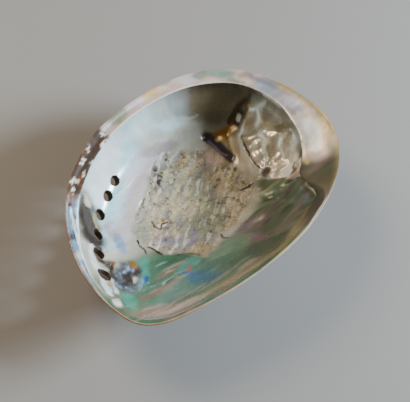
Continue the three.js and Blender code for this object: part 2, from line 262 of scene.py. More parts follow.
SHELF_LINES = [
    # The pink and white lines below are a painted highlight across the top of the shelf.
    ("pink pearl", 10, 0.8, [(72, -26), (65, -35), (56, -42)]),
    ("white", 6, 1.0, [(70, -29), (65, -35), (59, -40)]),
    ("green silver", 2, 0.8, [(73, -20), (64, -28), (57, -34)]),
    ("gold", 2.4, 0.6, [(76, -35), (67, -40), (61, -43)]),
    ("bark", 1.6, 0.9, [(-45, 51), (-53, 43), (-57, 36), (-63, 27), (-70, 17), (-77, 7)]),
    ("rust", 1.4, 0.7, [(-40, 55), (-50, 46)]),
    ("bark", 3, 0.8, [(-66, 26), (-71, 19), (-75, 12)]),
    ("ice", 1.6, 0.9, [(-47, 49), (-56, 39), (-62, 31), (-68, 23)]),
]
# Patches laid late, over the hollow and the shelf alike.
LATE_PATCHES = [
    ("olive grey", (70, -14), 6, 3, -70, 0.5), ("gold", (50, -39), 3.5, 1.8, 60, 0.9),
    ("deep green", (-5, -51), 9, 4.5, -20, 0.95), ("blue teal", (-31, -27), 8, 5, -50, 0.75),
    ("sea green", (-24, -32), 5, 4, -30, 0.6),
    ("bark", (-55, 20), 4, 2, 0, 0.9), ("rust", (-53, 19), 2.5, 1, 0, 0.6),
    ("amber", (-46, 11), 3, 1.6, 60, 0.8), ("dull gold", (-67, 10), 3, 1.8, 30, 0.9),
    ("cream", (-53, 4), 2.6, 1.4, 40, 0.8), ("light blue", (-39, 24), 6, 2.6, 60, 0.6),
    ("pink pearl", (39, 12), 5, 3.5, -70, 0.8),
]
# The fold that the shelf's edge curls into beside the spire: pink and white painted highlights
# along it, and a black line of painted shade on the cave's side.
FOLD_LINES = [
    ("pink pearl", 3.0, 0.9, [(58, -31), (54, -35), (50, -35), (47, -32)]),
    ("white", 1.2, 0.8, [(58, -32), (54, -36), (50, -36)]),
    ("black", 1.2, 0.85, [(57, -29), (53, -32), (49, -32)]),
]

# --- relief ---
FLOOR_MIDDLE = (13.0, 4.0)
EYE = (48.0, -17.0)  # the pit at the middle of the spire's coil
PEARL = (64.0, 13.0)  # a small free pearl grown onto the wall
LUMP = (-56.0, 8.0)  # the crackled lump beside the youngest hole
LUMP_PAINT = (-55.0, 8.0)  # and the middle of its colours
SCAR = [
    (42, 18), (34, 29), (24, 37), (12, 38), (0, 33), (-14, 31), (-26, 26), (-29, 15), (-28, 4),
    (-21, -6), (-18, -19), (-8, -20), (0, -18), (8, -20), (21, -20), (36, -19), (40, -8), (44, 4),
]
SPIRE_CAVE = [
    (70, 12), (76, 0), (75, -14), (68, -24), (58, -32), (48, -31), (44, -20), (47, -9),
    (52, 0), (58, 8),
]
DEEPEST = 0.4  # the hollow's grooves take away at most this share of the wall
HIGHEST = 1.95  # and its ridges stand out at most this far
# Ridges of the hollow: height, width, points.
RIDGES = [
    (0.6, 2.2, [(22, 51), (37, 45), (54, 32), (67, 14)]),
    (1.6, 3.0, [(69, 12), (64, 14), (58, 16), (50, 19)]),
    (1.2, 2.2, [(55, 15), (51, 11), (47, 6)]),
    (1.8, 3.2, [(47, 23), (46, 18), (46, 12), (45, 5)]),
    (1.5, 2.2, [(56, 9), (50, 1), (46, -7), (44, -13)]),
    (1.6, 2.4, [(50, -38), (44, -35), (38, -32), (33, -27)]),
    (-1.3, 1.4, [(58, 7), (53, 0), (49, -8), (47, -14)]),
    (-1.0, 1.6, [(60, -31), (54, -34), (46, -32)]),
    (-1.8, 4.5, [(-35, 51), (-40, 45), (-45, 38)]),
]
FOLDS_RIGHT_SPAN = (-100, -80, -45, -25)  # the folds of the wall right of the scar
FOLDS_LOWER_SPAN = (-200, -170, -110, -85)  # and the weaker ones below it
CRUST_RELIEF_SPAN = (104, 110, 140, 148)
TROUGH_RELIEF_SPAN = (136, 144, 172, 184)

# --- where the parts of the surface lie ---
# Shares of the way over the rim, from the wall inside to the back.
TOP_STARTS = (0.78, 0.5)  # the top of the rim begins, on the lip and on the shelf
OUTSIDE_SPAN = (0.88, 0.96)
UNDERSIDE_SPAN = (0.1, 0.35)  # the shelf's underside, where the hollow's relief fades
HOLLOW_ENDS = 0.7  # up to here the relief is held between its deepest and highest
TROUGH_BAND = (0.6, 0.68, 0.76, 0.84)
EDGE_BAND = (0.48, 0.52, 0.585, 0.615)
CREST_BAND = (0.44, 0.5, 0.6, 0.64)
END_SPAN = (0.1, 0.3)  # where the shelf's end past the spire turns dark
OUTER_BORDER_SPAN = (0.75, 0.82)
RIM_LINE_SPAN = (0.8, 0.86)
THIN_EDGE_SPAN = (0.86, 0.89)
# Spans of direction, in degrees about the hub.
RIGHT_SPAN = (-100, -84, -38, -24)
LOWER_SPAN = (-198, -176, -100, -84)
SHELF_END_SPAN = (-95, -80, -52, -44)
CRUST_SPAN = (100, 104, 136, 142)
TROUGH_SPAN = (136, 144, 176, 188)
UNROLL_FROM = 6.0  # height over which the wall is treated as flattened out

# --- gloss, from 0 to 1 ---
SCAR_DULLS = 0.75  # the share of the gloss that each of these takes away
RIGHT_DULLS = 0.3
SHELF_END_DULLS = 0.85
EYE_DULLS = 0.85
LUMP_DULLS = 0.7
HOLE_GLOSS = 0.2

# --- the rods that cut the holes ---
ROD_SIDES = 28
HOLE_PAINT_RADIUS = 0.52  # of the diameter
HOLE_PAINT_REACH = 12.0

# --- the stage: places and sizes in metres, the lens and its sensor in millimetres ---
CAMERA_ELEVATION = 62.0  # degrees
CAMERA_AZIMUTH = -57.0  # degrees
CAMERA_TARGET = (0.0028, -0.0044, 0.030)
CAMERA_DISTANCE = 0.90
CAMERA_LENS = 144.95
CAMERA_SENSOR = 36.0
LIGHT_AIM = (0, 0, 0.02)
FLOOR_SIZE = 6
FLOOR_GREY = (0.292, 0.29, 0.291, 1)
ROOM_COLOUR = (0.74, 0.68, 0.58, 1)
ROOM_LIGHT = 0.14


def linear(code):
    """A colour written as in print, as linear light."""
    value = np.array([int(code[i:i + 2], 16) for i in (0, 2, 4)]) / 255
    return np.where(value < 0.04045, value / 12.92, ((value + 0.055) / 1.055) ** 2.4)


def smoothstep(x, low, high):
    """0 below low, 1 above high, eased between."""
    t = np.clip((x - low) / (high - low), 0, 1)
    return t * t * (3 - 2 * t)


def lerp(a, b, t):
    return a + (b - a) * t


def sector(degrees, low_out, low_in, high_in, high_out):
    """1 from low_in to high_in degrees, falling to 0 at low_out and high_out."""
    middle = (low_in + high_in) / 2
    away = (degrees - middle + 180) % 360 - 180
    return smoothstep(away, low_out - middle, low_in - middle) * (
        1 - smoothstep(away, high_in - middle, high_out - middle))


def band(value, low_out, low_in, high_in, high_out):
    """1 from low_in to high_in, falling to 0 at low_out and high_out."""
    return smoothstep(value, low_out, low_in) * (1 - smoothstep(value, high_in, high_out))


def curve_through(points, t, closed):
    """Catmull-Rom curve through points (n, ..., 2) at t in 0..1, as (len(t), ..., 2)."""
    n = len(points)
    spot = t * (n if closed else n - 1)
    first = np.minimum(np.floor(spot).astype(int), n - 1 if closed else n - 2)
    w = (spot - first).reshape((-1,) + (1,) * (points.ndim - 1))

    def at(i):
        return points[i % n] if closed else points[np.clip(i, 0, n - 1)]
    a, b, c, d = at(first - 1), at(first), at(first + 1), at(first + 2)
    squared = (2 * a - 5 * b + 4 * c - d) * w**2
    cubed = (3 * b - 3 * c + d - a) * w**3
    return 0.5 * (2 * b + (c - a) * w + squared + cubed)


# --- noise and shapes on the plan ---
def lattice(i, j, seed):
    """A repeatable random number from 0 to 1 at whole-number places."""
    h = i.astype(np.uint32) * np.uint32(374761393) ^ j.astype(np.uint32) * np.uint32(668265263)
    h = (h ^ np.uint32(seed * 974711 + 1)) * np.uint32(1274126177)
    h = (h ^ (h >> np.uint32(13))) * np.uint32(2246822519)
    return ((h ^ (h >> np.uint32(16))) & np.uint32(0xFFFFFF)) / 0xFFFFFF


def noise(x, y, size, seed):
    """Smooth noise from -1 to 1 with lumps of a size."""
    u, v = x / size, y / size
    i, j = np.floor(u).astype(np.int64), np.floor(v).astype(np.int64)
    fu, fv = u - i, v - j
    fu, fv = fu * fu * (3 - 2 * fu), fv * fv * (3 - 2 * fv)
    low = lerp(lattice(i, j, seed), lattice(i + 1, j, seed), fu)
    high = lerp(lattice(i, j + 1, seed), lattice(i + 1, j + 1, seed), fu)
    return 2 * lerp(low, high, fv) - 1


def fractal(x, y, size, seed, octaves=3):
    """Noise on noise, each layer turned, half the size and half as strong."""
    total, weight = 0, 0
    for k in range(octaves):
        total = total + noise(x, y, size, seed + k) * 0.5**k
        weight += 0.5**k
        x, y, size = 0.8 * x - 0.6 * y, 0.6 * x + 0.8 * y, size / 2
    return total / weight


def patch(x, y, centre, length, width, turn):
    """1 in the middle of a ragged oval, falling to 0 over its edge."""
    angle = np.radians(turn)
    dx, dy = x - centre[0], y - centre[1]
    u = (dx * np.cos(angle) + dy * np.sin(angle)) / length
    v = (dy * np.cos(angle) - dx * np.sin(angle)) / width
    return 1 - smoothstep(np.hypot(u, v), 0.6, 1.25)


def from_line(x, y, points):
    """Distance from a line of points."""
    nearest = np.full(x.shape, np.inf)
    for (ax, ay), (bx, by) in zip(points[:-1], points[1:]):
        sx, sy = bx - ax, by - ay
        t = np.clip(((x - ax) * sx + (y - ay) * sy) / (sx * sx + sy * sy), 0, 1)
        nearest = np.minimum(nearest, np.hypot(x - ax - t * sx, y - ay - t * sy))
    return nearest


def within(x, y, corners):
    """Distance inside a closed outline, negative outside."""
    inside = np.zeros(x.shape, dtype=bool)
    loop = corners + corners[:1]
    for (ax, ay), (bx, by) in zip(loop[:-1], loop[1:]):
        crosses = (ay > y) != (by > y)
        inside ^= crosses & (x < ax + (y - ay) * (bx - ax) / (by - ay + 1e-9))
    return from_line(x, y, loop) * np.where(inside, 1, -1)


class Sections:
    """Every section of the shell at once: arrays with one entry for each direction."""

    def __init__(self, count):
        rim = curve_through(RIM_PLAN, np.arange(count) / count, True)
        to_rim = rim - HUB
        self.reach = np.hypot(*to_rim.T)
        self.direction = to_rim / self.reach[:, None]
        degrees = np.degrees(np.arctan2(to_rim[:, 1], to_rim[:, 0]))
        steep = sector(degrees, *STEEP_SPAN)
        around = np.arctan2(rim[:, 1], rim[:, 0])
        self.degrees = degrees
        self.rim_height = RIM_HEIGHT - RIM_WAVE * np.cos(2 * around)
        self.roundness = lerp(*PARABOLA_SHARE, steep)
        self.steepness = lerp(*STEEP_POWER, steep)
        self.shelf = sector(degrees, *SHELF_SPAN)
        self.fill = sector(degrees, *FILL_SPAN) * smoothstep(self.shelf, 0, FILL_WHOLE)
        start = SHELF[0, 0]
        angle = (degrees - start) % 360 + start
        self.shelf_width = self.soften(np.interp(angle, SHELF[:, 0], SHELF[:, 1]))
        self.shelf_sink = self.soften(np.interp(angle, SHELF[:, 0], SHELF[:, 2]))
        under_edge = (self.reach - self.shelf_width + UNDERCUT) / self.reach
        self.wall_top = lerp(WALL_TOP, np.minimum(WALL_TOP, under_edge), self.shelf)

    @staticmethod
    def soften(values, spread=4):
        wrapped = np.r_[values[-spread:], values, values[:spread]]
        return np.convolve(wrapped, np.ones(2 * spread + 1) / (2 * spread + 1), "valid")

    def back(self, share):
        """Points of the back, (count, 2) as distance from the hub and height."""
        rise = self.roundness * share**2 + (1 - self.roundness) * share**self.steepness
        height = np.maximum(0, (self.rim_height + REST_FLAT) * rise - REST_FLAT)
        return np.stack([share * self.reach, height], 1)

    def inner(self, share, thickness):
        """The back moved inwards, square to itself."""
        step = 0.01
        tangent = self.back(share + step) - self.back(np.maximum(0, share - step))
        tangent /= np.hypot(*tangent.T)[:, None]
        inwards = np.stack([-tangent[:, 1], tangent[:, 0]], 1)
        return self.back(share) + inwards * np.reshape(thickness, (-1, 1))

    def spot(self, distance, height):
        shape = self.reach.shape
        return np.stack([np.broadcast_to(distance, shape), np.broadcast_to(height, shape)], 1)

    def lip(self):
        e, reach = self.rim_height, self.reach
        wall = [self.inner(share, LIP_THICKNESS) for share in LIP_WALL]
        return wall + [self.spot(reach - inwards, e - down) for inwards, down in LIP_EDGE]

    def ledge(self):
        e, reach, width = self.rim_height, self.reach, self.shelf_width
        edge = reach - width
        step = lerp(*SHELF_STEPS, self.shelf_sink / SHELF_SINKS)
        wall = self.inner(self.wall_top + 2.2 * step, WALL_THICKNESS)[:, 0]
        under = e - self.shelf_sink
        return [
            self.inner(self.wall_top + step, WALL_THICKNESS),
            self.inner(self.wall_top + 1.9 * step, WALL_THICKNESS),
            *[self.spot(lerp(edge, wall, share), under - down) for share, down in SHELF_UNDERSIDE],
            self.spot(edge + SHELF_EDGE[0], under - SHELF_EDGE[1]),
            self.spot(reach - width / 2, e - SHELF_DISH - self.shelf_sink * SHELF_DISH_SHARE),
            *[self.spot(reach - inwards, e - down) for inwards, down in SHELF_RIM],
        ]

    def filled(self, inside, edge):
        """Moves the points under the shelf's end onto the slope that carries it."""
        under = np.arange(len(inside)) < FLOOR_ROWS + 1 + np.sum(RIM_STOPS < UNDER_EDGE)
        ramp = smoothstep(inside[..., 0], edge[:, 0] - FILL_RUN, edge[:, 0]) * self.fill
        lift = ramp * np.maximum(0, edge[:, 1] - FILL_DROP - inside[..., 1])
        past = np.maximum(0, inside[..., 0] - edge[:, 0])
        inside[..., 0] -= under[:, None] * self.fill * past
        inside[..., 1] += under[:, None] * lift
        return inside

    def outline(self):
        """All rows of all sections, (rows, count, 2), from the hub inside to the hub outside."""
        shelf = self.shelf[:, None]
        top_thickness = lerp(LIP_THICKNESS, WALL_THICKNESS, self.shelf)
        floor = []
        for along in np.arange(FLOOR_ROWS + 1) / FLOOR_ROWS:
            thickness = lerp(FLOOR_THICKNESS, top_thickness, along)
            floor.append(self.inner(self.wall_top * along, thickness))
        floor[0][:, 0] = 0
        rim = [lerp(a, b, shelf) for a, b in zip(self.lip(), self.ledge())]
        controls = np.stack([floor[-1]] + rim + [self.back(BACK_TOP)])
        over_rim = curve_through(controls, RIM_STOPS, False)
        inside = self.filled(np.concatenate([np.stack(floor), over_rim]), rim[EDGE_POINT])
        back = []
        for along in (np.arange(1, BACK_ROWS + 1) / BACK_ROWS) ** BACK_BUNCHING:
            back.append(self.back(lerp(BACK_TOP, REST_RADIUS / self.reach, along)))
        back.append(self.spot(0.0, 0.0))
        return np.concatenate([inside, np.stack(back)])


def keel_radius(angle):
    return KEEL_RADIUS * np.exp(COIL_RATE * (angle - np.radians(KEEL_ANGLE)))


def coil_place(x, y):
    """Angle round the coil's axis, from -90 to 270 degrees in radians, and distance from it."""
    angle = np.arctan2(y - COIL[1], x - COIL[0])
    angle = np.where(angle < -np.pi / 2, angle + 2 * np.pi, angle)
    return angle, np.hypot(x - COIL[0], y - COIL[1])


def bulge(x, y):
    """How far the wall bulges downwards at a place, seen from above."""
    spire = SPIRE_RISE * np.exp(-(np.hypot(x - SPIRE[0], y - SPIRE[1]) / SPIRE_SPREAD) ** 2)
    angle, distance = coil_place(x, y)
    along = sector(np.degrees(angle), *KEEL_SPAN)
    return spire + KEEL_RISE * along * np.exp(-((distance - keel_radius(angle)) / KEEL_SPREAD) ** 2)


def streaks(x, y, length, width, seed):
    """Noise drawn out along the growth of the outer lip."""
    x, y = x + 3 * fractal(x, y, 14, 5), y + 3 * fractal(x, y, 14, 7)
    along, across = 0.93 * x - 0.37 * y, 0.37 * x + 0.93 * y
    return noise(along * width / length, across, width, seed)


def fibres(x, y, length, width, seed):
    """Noise drawn out across the muscle scar."""
    x, y = x + 1.5 * fractal(x, y, 8, 9), y + 1.5 * fractal(x, y, 8, 10)
    along, across = 0.97 * x + 0.25 * y, -0.25 * x + 0.97 * y
    return noise(along * width / length, across, width, seed)


# --- the surface ---
class Surface:
    """The shell's grid of points, with masks that tell its parts from one another."""

    def __init__(self):
        sections = Sections(SECTIONS)
        rows = sections.outline()
        xy = HUB + sections.direction[None] * rows[..., :1]
        z = rows[..., 1]
        low = z <= sections.rim_height - RIM_CLEAR
        below = np.where(low, bulge(xy[..., 0], xy[..., 1]), 0)
        row = np.arange(len(rows))[:, None] + np.zeros((1, SECTIONS))
        z = np.where(row <= FLOOR_ROWS, z - INNER_BULGE * below, np.maximum(0, z - below))
        self.points = np.concatenate([xy, z[..., None]], 2)
        self.x, self.y = xy[..., 0], xy[..., 1]
        # The same places as if the wall were flattened out, so that nothing streaks down it.
        unroll = np.hypot(1, np.maximum(z - UNROLL_FROM, 0) / np.maximum(rows[..., 0], 1))
        self.u = HUB[0] + (self.x - HUB[0]) * unroll
        self.v = HUB[1] + (self.y - HUB[1]) * unroll
        self.from_hub = np.hypot(self.x - HUB[0], self.y - HUB[1])
        self.from_eye = np.hypot(self.x - EYE[0], self.y - EYE[1])
        self.degrees = sections.degrees[None] + 0 * row
        self.shelf = sections.shelf[None] + 0 * row
        back = np.full(BACK_ROWS + 1, OVER_BACK)
        stops = np.concatenate([np.zeros(FLOOR_ROWS + 1), RIM_STOPS, back])
        self.over = stops[:, None] + 0 * row
        along = np.clip(row / FLOOR_ROWS, 0, 1)
        top_thickness = lerp(LIP_THICKNESS, WALL_THICKNESS, self.shelf)
        self.thickness = lerp(FLOOR_THICKNESS, top_thickness, along)
        self.mark_parts()
        self.crests = self.cave_crests()

    def mark_parts(self):
        """Masks, each 1 on its part of the shell and 0 off it."""
        x, y, over = self.x, self.y, self.over
        start = lerp(*TOP_STARTS, self.shelf)
        past_hollow = smoothstep(over, start - 0.05, start + 0.03)
        self.outside = smoothstep(over, *OUTSIDE_SPAN)
        self.hollow = 1 - past_hollow
        self.top = past_hollow * (1 - self.outside)
        self.bowl = self.hollow * (1 - self.shelf * smoothstep(over, *UNDERSIDE_SPAN))
        ragged_x, ragged_y = x + 1.2 * fractal(x, y, 5, 31), y + 1.2 * fractal(x, y, 5, 41)
        self.scar = smoothstep(within(ragged_x, ragged_y, SCAR), -1.6, 1.8) * self.hollow
        self.cave = smoothstep(within(x, y, SPIRE_CAVE), -1, 2) * self.hollow

    def cave_crests(self):
        """The wrinkles that fan out from the eye in the spire's cave, about -1 to 1."""
        x, y = self.x, self.y
        turn = np.arctan2(y - EYE[1], x - EYE[0])
        around = turn * 13 + 2 * fractal(x, y, 9, 93)
        fans = 1 - 2 * np.abs(noise(around, self.from_eye * 0.3, 7, 91))
        pleats = 1 - 3 * np.abs(fractal(x, y, 9, 97, 2))
        return 0.6 * fans * smoothstep(self.from_eye, 2, 8) + 0.6 * pleats

    def normals(self):
        p = self.points
        around = np.roll(p, -1, 1) - np.roll(p, 1, 1)
        along = np.gradient(p, axis=0)
        out = np.cross(around, along)
        length = np.linalg.norm(out, axis=2, keepdims=True)
        out = out / np.maximum(length, 1e-9)
        out[0] = (0, 0, 1)
        out[-1] = (0, 0, -1)
        return out

    # Each relief is a height in millimetres. Noise takes a lump's size and a seed.
    def scar_relief(self):
        x, y = self.x, self.y
        lumps = 0.4 * fractal(x, y, 7, 51) + 0.3 * fibres(x, y, 12, 2.2, 61)
        return self.scar * (0.5 + lumps + 0.25 * fractal(x, y, 2.2, 65))

    def ridge_relief(self):
        x, y = self.x, self.y
        wavy_x, wavy_y = x + 0.8 * fractal(x, y, 4, 71), y + 0.8 * fractal(x, y, 4, 81)
        height = 0
        for rise, width, points in RIDGES:
            line = from_line(wavy_x, wavy_y, points)
            height = height + self.bowl * rise * np.exp(-((line / width) ** 2))
        return height

    def cave_relief(self):
        """Wrinkles, and the eye's pit inside a low ring."""
        wrinkles = 2.2 * self.crests + 0.2 * fractal(self.x, self.y, 4, 95)
        ring = 0.9 * np.exp(-(((self.from_eye - 3.4) / 1.3) ** 2))
        pit = 2.6 * np.exp(-((self.from_eye / 2.1) ** 2))
        return self.cave * (-1.0 + wrinkles) + self.bowl * (ring - pit)

    def wall_relief(self):
        """Long folds on the wall, and the crackled lump."""
        x, y = self.x, self.y
        folds = streaks(x, y, 26, 7, 101) + 0.4 * streaks(x, y, 16, 3, 111)
        right = sector(self.degrees, *FOLDS_RIGHT_SPAN) * self.past(24, 32)
        lower = sector(self.degrees, *FOLDS_LOWER_SPAN) * self.past(34, 42)
        lump = patch(x, y, LUMP, 10, 8, 30)
        height = self.bowl * right * 1.1 * folds * (1 - self.cave)
        height = height + self.bowl * lower * 0.3 * folds
        return height + self.bowl * lump * (1.8 + 0.9 * fractal(x, y, 3, 121))

    def past(self, low, high):
        """0 nearer the middle of the floor than low, 1 past high."""
        return smoothstep(np.hypot(self.x - FLOOR_MIDDLE[0], self.y - FLOOR_MIDDLE[1]), low, high)

    def rim_relief(self):
        """The ragged outside, the crust on the rim and the trough in the shelf."""
        x, y, u, v = self.x, self.y, self.u, self.v
        ragged = self.outside * (0.4 * fractal(u, v, 9, 131) + 0.3 * fractal(u, v, 3.5, 141))
        crust = self.top * sector(self.degrees, *CRUST_RELIEF_SPAN)
        crust = crust * (0.3 + 0.5 * fractal(x, y, 2.5, 151))
        trough = self.top * self.shelf * band(self.over, *TROUGH_BAND)
        return ragged + crust - trough * sector(self.degrees, *TROUGH_RELIEF_SPAN)

    def relief(self):
        """How far each point stands out of the smooth shell, in millimetres."""
        height = self.scar_relief() + self.ridge_relief() + self.cave_relief() + self.wall_relief()
        held = np.clip(height, -DEEPEST * self.thickness, HIGHEST)
        return np.where(self.over < HOLLOW_ENDS, held, height) + self.rim_relief()

    def shape(self):
        settle = self.normals() * self.relief()[..., None]
        self.points = self.points + settle
        self.points[..., 2] = np.maximum(self.points[..., 2], 0)


class Paint:
    """Colours laid over one another on the surface."""

    def __init__(self, surface):
        self.surface = surface
        x, y = surface.x, surface.y
        self.x = x + 1.6 * fractal(x, y, 9, 11) + 0.7 * fractal(x, y, 2.5, 15)
        self.y = y + 1.6 * fractal(x, y, 9, 21) + 0.7 * fractal(x, y, 2.5, 25)
        self.colour = np.zeros(x.shape + (3,)) + linear(PALETTE["grey pearl"])
        self.fine = streaks(x, y, 14, 2.2, 201)
        self.broad = streaks(x, y, 24, 6, 211)

    def lay(self, name, amount):
        self.colour = lerp(self.colour, linear(PALETTE[name]), np.clip(amount, 0, 1)[..., None])

    def patches(self, table, mask):
        for name, centre, length, width, turn, strength in table:
            self.lay(name, strength * mask * patch(self.x, self.y, centre, length, width, turn))

    def lines(self, table, mask):
        for name, width, strength, points in table:
            far = from_line(self.x, self.y, points)
            self.lay(name, strength * mask * (1 - smoothstep(far, 0.3 * width, 0.75 * width)))

    def vein(self, name, mask, pattern, shows, strength=1.0):
        """Lays a colour where a pattern is over the first number of shows, whole at the second."""
        self.lay(name, mask * smoothstep(pattern, *shows) * strength)

    def clouds(self, table, mask, x, y):
        for name, size, seed, shows, strength in table:
            self.vein(name, mask, fractal(x, y, size, seed), shows, strength)

    def arc(self, name, mask, span, strength=1.0):
        """Lays a colour over a span of direction, in degrees."""
        self.lay(name, mask * sector(self.surface.degrees, *span) * strength)


def paint_walls(paint, s, right, lower):
    """Green and blue below the scar, olive right of it, grey above, with a painted reflection of
    the cool light in pale blue and painted shade in dark brown on the upper wall.
    """
    x, y, hollow = s.x, s.y, s.hollow
    paint.lay("olive", right)
    paint.lay("sea green", lower)
    fine, broad = paint.fine, paint.broad
    paint.vein("rose tan", lower, broad, (0.0, 0.6), 0.5)
    paint.vein("teal", lower, -broad, (0.3, 0.8), 0.5)
    paint.vein("mauve", right, broad, (0.1, 0.6), 0.5)
    paint.vein("leaf", right, -broad, (0.3, 0.8), 0.4)
    paint.patches(HOLLOW_PATCHES, hollow)
    paint.patches(RIGHT_PATCHES, hollow)
    paint.patches(LOWER_PATCHES, hollow)
    paint.vein("pink pearl", lower, fine, (0.2, 0.8), 0.35)
    # Near-white streaks in the lower band are painted glints, that is, painted highlights.
    painted_glints = lower * patch(x, y, (-42, -6), 20, 12, -20)
    paint.vein("ice", painted_glints, streaks(x, y, 8, 1.2, 215), (0.6, 0.85), 0.35)
    paint.vein("black", right, fine, (0.3, 0.85), 0.5)
    paint.vein("leaf", right, -fine, (0.4, 0.9), 0.3)


def paint_scar(paint, s):
    x, y, scar = s.x, s.y, s.scar
    paint.lay("beige", scar)
    paint.patches(SCAR_PATCHES, scar)
    mottle = 0.5 * fractal(x, y, 4, 221) + 0.8 * fibres(x, y, 9, 1.8, 225)
    paint.vein("cream", scar, mottle, (0.1, 0.6), 0.7)
    paint.vein("scar grey", scar, -mottle, (0.1, 0.6), 0.7)
    paint.vein("dark brown and painted shade", scar, fractal(x, y, 3, 227), (0.2, 0.6), 0.5)
    paint.vein("sage", scar, fractal(x, y, 8, 231), (0.15, 0.5), 0.5)
    pitted = patch(x, y, (10, 34), 20, 6, 10) + 0.5 * patch(x, y, (38, -4), 14, 5, -80)
    pitted = scar * np.clip(pitted, 0, 1)
    paint.vein("black", pitted, fractal(x, y, 2.8, 241), (0.12, 0.26))
    paint.vein("black", scar, fractal(x, y, 3.6, 245), (0.5, 0.58), 0.7)
    # Near-white veins along the scar's fibres are painted glints, that is, painted highlights.
    paint.vein("white", scar, fibres(x, y, 6, 1.2, 235), (0.5, 0.8), 0.6)
    cracks = 1 - smoothstep(np.abs(fractal(x, y, 7, 251)), 0.01, 0.05)
    paint.lay("dark brown and painted shade", scar * cracks * 0.6)


def paint_spire(paint, s):
    """The silvery wrinkled cave of the spire, with olive and dark brown painted into its creases as
    shade, and painted highlights on its crests.
    """
    paint.patches(CAVE_WALL_PATCHES, s.hollow * (1 - s.cave))
    paint.lay("silver", s.cave)
    paint.patches(SPIRE_PATCHES, s.cave * 0.7)
    # Creases are painted olive grey and dark brown as shade; crests are painted near-white as
    # highlights.
    paint.vein("olive grey", s.cave, -s.crests, (0.1, 0.5), 0.6)
    paint.vein("dark brown and painted shade", s.cave, -s.crests, (0.45, 0.9), 0.6)
    paint.vein("bright", s.cave, s.crests, (-0.1, 0.4))


def paint_marks(paint, s, lump):
    """Lines in the hollow, the dark eye, the free pearl and the crackled lump."""
    x, y, hollow = s.x, s.y, s.hollow
    paint.lines(HOLLOW_LINES, hollow)
    paint.lay("bark", hollow * (1 - smoothstep(s.from_eye, 2.6, 3.6)) * 0.8)
    # The black in the middle of the eye is painted shade in its pit.
    paint.lay("black", hollow * (1 - smoothstep(s.from_eye, 1.4, 2.4)))
    paint.lay("bark", hollow * patch(x, y, PEARL, 4, 3, 0))
    from_pearl = np.hypot(x - PEARL[0], y - PEARL[1])
    paint.lay("silver", hollow * (1 - smoothstep(from_pearl, 1.2, 1.8)))
    crackle = fractal(x, y, 3, 271)
    paint.lay("slate", lump)
    paint.vein("light blue", lump, crackle, (0.15, 0.4), 0.9)
    paint.vein("black", lump, -crackle, (0.0, 0.3))


def paint_shelf(paint, s, shelf_end):
    """The pearly top of the shelf, and its dark end past the spire."""
    paint.lay("pink pearl", s.top * s.shelf)
    paint.clouds(SHELF_CLOUDS, s.top, s.x, s.y)
    paint.patches(SHELF_PATCHES, s.top)
    paint.lay("dark olive", shelf_end * 0.95)
    paint.vein("mauve", shelf_end, paint.broad, (0.1, 0.5), 0.35)
    paint.vein("deep green", shelf_end, -paint.broad, (0.0, 0.5), 0.6)
    paint.vein("black", shelf_end, paint.fine, (0.3, 0.9), 0.35)
    border = smoothstep(s.over, *OUTER_BORDER_SPAN) * (1 - s.outside)
    paint.arc("dull gold", border, (-84, -66, -8, 6), 0.6)
    paint.patches(LATE_PATCHES, 1 - s.outside)
    paint.lines(FOLD_LINES, 1 - s.outside)


def paint_lip(paint, s):
    """The thin lip's colours, and the bright line of the shelf's edge, which is a painted
    highlight.
    """
    lip = s.top * (1 - s.shelf)
    paint.arc("olive grey", lip, (-110, -90, -50, -40), 0.7)
    paint.arc("tan", lip, (-190, -175, -100, -85), 0.7)
    thin_edge = smoothstep(s.over, *THIN_EDGE_SPAN) * (1 - s.outside)
    paint.arc("white", thin_edge * (1 - s.shelf), (-150, -125, -60, -40))
    paint.arc("gold", thin_edge, (-195, -180, -150, -125), 0.8)
    # The white line along the shelf's edge is a painted highlight.
    paint.arc("white", s.shelf * band(s.over, *EDGE_BAND), (-52, -42, 105, 112))


def paint_left_rim(paint, s, crust):
    """The brown and white crust, and the blue trough beside the youngest holes."""
    x, y = s.x, s.y
    paint.lay("bark", crust)
    paint.vein("white", crust, fractal(x, y, 2.6, 341), (0.26, 0.42), 0.9)
    paint.vein("rust", crust, -fractal(x, y, 4, 345), (0.1, 0.5), 0.5)
    trough = s.top * s.shelf * sector(s.degrees, *TROUGH_SPAN)
    paint.lay("light blue", trough)
    paint.clouds(TROUGH_CLOUDS, trough, x, y)
    paint.lines(SHELF_LINES, s.top)
    # The pale line along the shelf's edge on this side is a painted highlight.
    paint.arc("ice", s.shelf * band(s.over, *CREST_BAND), (136, 142, 178, 186))
    rim_line = smoothstep(s.over, *RIM_LINE_SPAN) * (1 - s.outside)
    paint.arc("rust", rim_line, (104, 112, 205, 220), 0.8)


def paint_outside(paint, s):
    paint.lay("outside brown", s.outside)
    paint.clouds(OUTSIDE_CLOUDS, s.outside, s.u, s.v)


